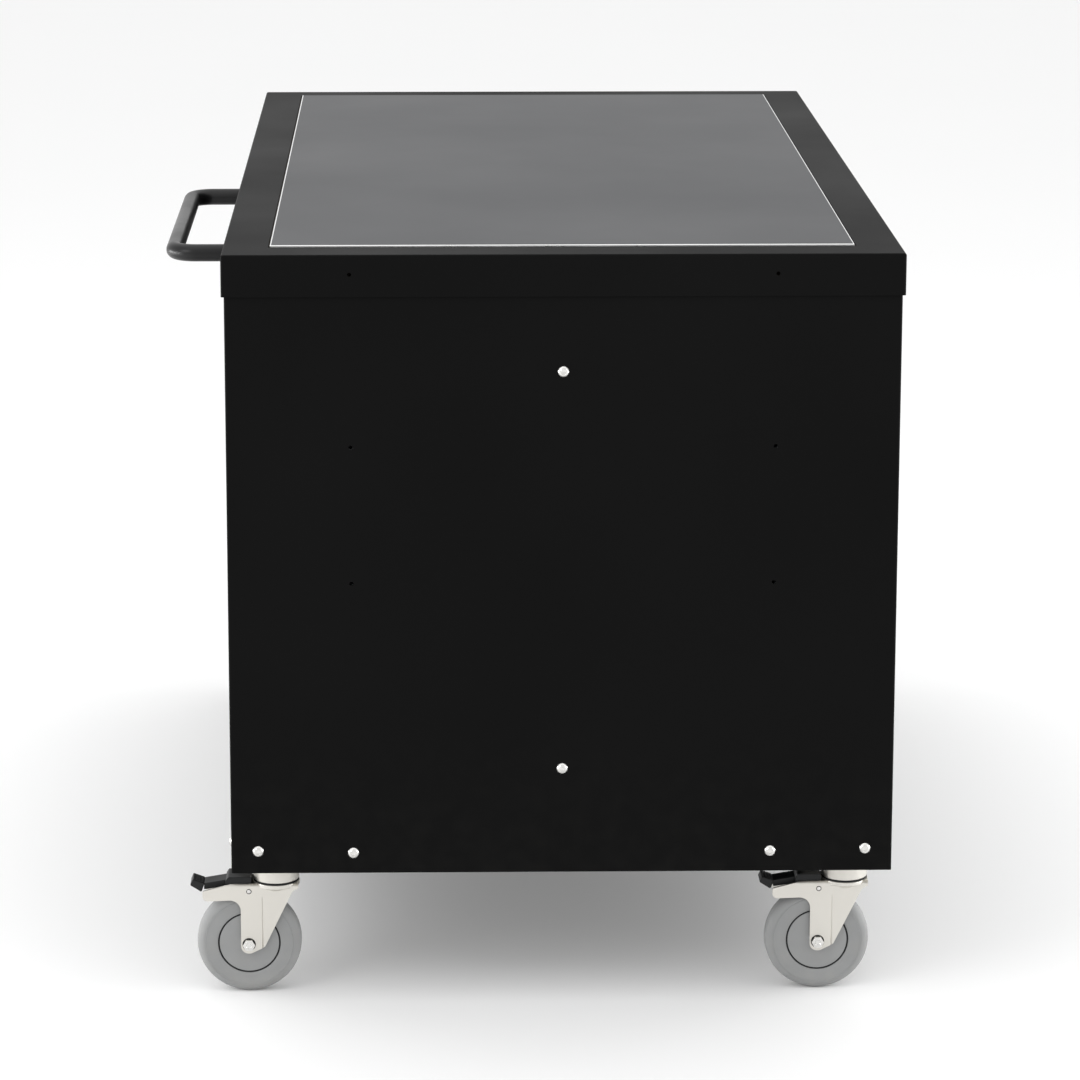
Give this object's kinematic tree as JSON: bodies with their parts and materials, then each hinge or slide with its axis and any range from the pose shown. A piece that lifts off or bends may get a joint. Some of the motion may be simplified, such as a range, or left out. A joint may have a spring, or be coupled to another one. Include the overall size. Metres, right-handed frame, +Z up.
{
  "type": "rolling tool chest",
  "caption": "Long black sheet-metal tool chest on total-lock swivel casters, with drawers, a push handle and a satin inset work top.",
  "frame": {"origin": "on the floor, under the middle of the whole chest's bounding box", "axes": "+X along the long side towards the right end, +Y towards the push handle (the drawers open towards -Y), +Z up"},
  "size_m": [1.4214, 0.905, 0.9073],
  "materials": {
    "black_powder_coat": "fine-textured satin powder coat",
    "satin_plate": "fine satin",
    "core_board": "bare board",
    "zinc_plate": "bright zinc plate",
    "grey_enamel": "satin",
    "bright_screw": "polished",
    "pull_alloy": "satin anodised",
    "lock_chrome": "polished",
    "hub_plastic": "moulded",
    "tread_rubber": "matt non-marking",
    "pedal_black": "satin black"
  },
  "bodies": {
    "root": {"top_cap": "black_powder_coat", "top_core": "core_board", "top_plate": "satin_plate", "left_end_panel": "black_powder_coat", "right_end_panel": "black_powder_coat", "rear_panel": "black_powder_coat", "base_pan": "black_powder_coat", "left_slide_rack": "grey_enamel", "right_slide_rack": "grey_enamel", "centre_partition": "black_powder_coat", "front_header": "black_powder_coat", "push_handle": "black_powder_coat", "fixed_slides": "zinc_plate", "button_screws": "bright_screw", "caster_bolts": "zinc_plate", "caster_front_left_mount": "zinc_plate", "caster_front_right_mount": "zinc_plate", "caster_rear_left_mount": "zinc_plate", "caster_rear_right_mount": "zinc_plate"},
    "drawer_top": {"drawer_top_tray": "black_powder_coat", "drawer_top_pull": "pull_alloy", "drawer_top_inner_slides": "zinc_plate"},
    "drawer_top_slides": {"drawer_top_middle_slides": "zinc_plate"},
    "drawer_left_upper": {"drawer_left_upper_tray": "black_powder_coat", "drawer_left_upper_pull": "pull_alloy", "drawer_left_upper_inner_slides": "zinc_plate"},
    "drawer_left_upper_slides": {"drawer_left_upper_middle_slides": "zinc_plate"},
    "drawer_right_upper": {"drawer_right_upper_tray": "black_powder_coat", "drawer_right_upper_pull": "pull_alloy", "drawer_right_upper_inner_slides": "zinc_plate"},
    "drawer_right_upper_slides": {"drawer_right_upper_middle_slides": "zinc_plate"},
    "drawer_left_lower": {"drawer_left_lower_tray": "black_powder_coat", "drawer_left_lower_pull": "pull_alloy", "drawer_left_lower_inner_slides": "zinc_plate"},
    "drawer_left_lower_slides": {"drawer_left_lower_middle_slides": "zinc_plate"},
    "drawer_right_lower": {"drawer_right_lower_tray": "black_powder_coat", "drawer_right_lower_pull": "pull_alloy", "drawer_right_lower_inner_slides": "zinc_plate"},
    "drawer_right_lower_slides": {"drawer_right_lower_middle_slides": "zinc_plate"},
    "lock": {"lock_barrel": "lock_chrome"},
    "caster_front_left_swivel": {"caster_front_left_fork": "zinc_plate", "caster_front_left_axle": "zinc_plate"},
    "caster_front_left_wheel": {"caster_front_left_hub": "hub_plastic", "caster_front_left_tread": "tread_rubber"},
    "caster_front_left_brake": {"caster_front_left_pedal": "pedal_black"},
    "caster_front_right_swivel": {"caster_front_right_fork": "zinc_plate", "caster_front_right_axle": "zinc_plate"},
    "caster_front_right_wheel": {"caster_front_right_hub": "hub_plastic", "caster_front_right_tread": "tread_rubber"},
    "caster_front_right_brake": {"caster_front_right_pedal": "pedal_black"},
    "caster_rear_left_swivel": {"caster_rear_left_fork": "zinc_plate", "caster_rear_left_axle": "zinc_plate"},
    "caster_rear_left_wheel": {"caster_rear_left_hub": "hub_plastic", "caster_rear_left_tread": "tread_rubber"},
    "caster_rear_left_brake": {"caster_rear_left_pedal": "pedal_black"},
    "caster_rear_right_swivel": {"caster_rear_right_fork": "zinc_plate", "caster_rear_right_axle": "zinc_plate"},
    "caster_rear_right_wheel": {"caster_rear_right_hub": "hub_plastic", "caster_rear_right_tread": "tread_rubber"},
    "caster_rear_right_brake": {"caster_rear_right_pedal": "pedal_black"}
  },
  "joints": [
    {"name": "drawer_top_travel", "type": "slide", "parent": "root", "child": "drawer_top", "axis": [0, -1, 0], "range_m": [0, 0.65]},
    {"name": "drawer_top_middle_travel", "type": "slide", "parent": "root", "child": "drawer_top_slides", "axis": [0, -1, 0], "range_m": [0, 0.325]},
    {"name": "drawer_left_upper_travel", "type": "slide", "parent": "root", "child": "drawer_left_upper", "axis": [0, -1, 0], "range_m": [0, 0.65]},
    {"name": "drawer_left_upper_middle_travel", "type": "slide", "parent": "root", "child": "drawer_left_upper_slides", "axis": [0, -1, 0], "range_m": [0, 0.325]},
    {"name": "drawer_right_upper_travel", "type": "slide", "parent": "root", "child": "drawer_right_upper", "axis": [0, -1, 0], "range_m": [0, 0.65]},
    {"name": "drawer_right_upper_middle_travel", "type": "slide", "parent": "root", "child": "drawer_right_upper_slides", "axis": [0, -1, 0], "range_m": [0, 0.325]},
    {"name": "drawer_left_lower_travel", "type": "slide", "parent": "root", "child": "drawer_left_lower", "axis": [0, -1, 0], "range_m": [0, 0.65]},
    {"name": "drawer_left_lower_middle_travel", "type": "slide", "parent": "root", "child": "drawer_left_lower_slides", "axis": [0, -1, 0], "range_m": [0, 0.325]},
    {"name": "drawer_right_lower_travel", "type": "slide", "parent": "root", "child": "drawer_right_lower", "axis": [0, -1, 0], "range_m": [0, 0.65]},
    {"name": "drawer_right_lower_middle_travel", "type": "slide", "parent": "root", "child": "drawer_right_lower_slides", "axis": [0, -1, 0], "range_m": [0, 0.325]},
    {"name": "lock_turn", "type": "hinge", "parent": "drawer_top", "child": "lock", "pos_m": [0.63975, -0.4285, 0.832], "axis": [0, 1, 0], "range_deg": [0, 90]},
    {"name": "caster_front_left_turn", "type": "hinge", "parent": "root", "child": "caster_front_left_swivel", "pos_m": [-0.65575, -0.3775, 0.138], "axis": [0, 0, 1], "continuous": true},
    {"name": "caster_front_left_roll", "type": "hinge", "parent": "caster_front_left_swivel", "child": "caster_front_left_wheel", "pos_m": [-0.65575, -0.345, 0.0625], "axis": [1, 0, 0], "continuous": true},
    {"name": "caster_front_left_lock", "type": "hinge", "parent": "caster_front_left_swivel", "child": "caster_front_left_brake", "pos_m": [-0.65575, -0.3455, 0.1288], "axis": [-1, 0, 0], "range_deg": [0, 6]},
    {"name": "caster_front_right_turn", "type": "hinge", "parent": "root", "child": "caster_front_right_swivel", "pos_m": [0.65575, -0.3775, 0.138], "axis": [0, 0, 1], "continuous": true},
    {"name": "caster_front_right_roll", "type": "hinge", "parent": "caster_front_right_swivel", "child": "caster_front_right_wheel", "pos_m": [0.65575, -0.345, 0.0625], "axis": [1, 0, 0], "continuous": true},
    {"name": "caster_front_right_lock", "type": "hinge", "parent": "caster_front_right_swivel", "child": "caster_front_right_brake", "pos_m": [0.65575, -0.3455, 0.1288], "axis": [-1, 0, 0], "range_deg": [0, 6]},
    {"name": "caster_rear_left_turn", "type": "hinge", "parent": "root", "child": "caster_rear_left_swivel", "pos_m": [-0.65575, 0.304, 0.138], "axis": [0, 0, 1], "continuous": true},
    {"name": "caster_rear_left_roll", "type": "hinge", "parent": "caster_rear_left_swivel", "child": "caster_rear_left_wheel", "pos_m": [-0.65575, 0.3365, 0.0625], "axis": [1, 0, 0], "continuous": true},
    {"name": "caster_rear_left_lock", "type": "hinge", "parent": "caster_rear_left_swivel", "child": "caster_rear_left_brake", "pos_m": [-0.65575, 0.336, 0.1288], "axis": [-1, 0, 0], "range_deg": [0, 6]},
    {"name": "caster_rear_right_turn", "type": "hinge", "parent": "root", "child": "caster_rear_right_swivel", "pos_m": [0.65575, 0.304, 0.138], "axis": [0, 0, 1], "continuous": true},
    {"name": "caster_rear_right_roll", "type": "hinge", "parent": "caster_rear_right_swivel", "child": "caster_rear_right_wheel", "pos_m": [0.65575, 0.3365, 0.0625], "axis": [1, 0, 0], "continuous": true},
    {"name": "caster_rear_right_lock", "type": "hinge", "parent": "caster_rear_right_swivel", "child": "caster_rear_right_brake", "pos_m": [0.65575, 0.336, 0.1288], "axis": [-1, 0, 0], "range_deg": [0, 6]}
  ],
  "couplings": [
    {"joint": "drawer_top_middle_travel", "follows": "drawer_top_travel", "ratio": 0.5},
    {"joint": "drawer_left_upper_middle_travel", "follows": "drawer_left_upper_travel", "ratio": 0.5},
    {"joint": "drawer_right_upper_middle_travel", "follows": "drawer_right_upper_travel", "ratio": 0.5},
    {"joint": "drawer_left_lower_middle_travel", "follows": "drawer_left_lower_travel", "ratio": 0.5},
    {"joint": "drawer_right_lower_middle_travel", "follows": "drawer_right_lower_travel", "ratio": 0.5}
  ]
}
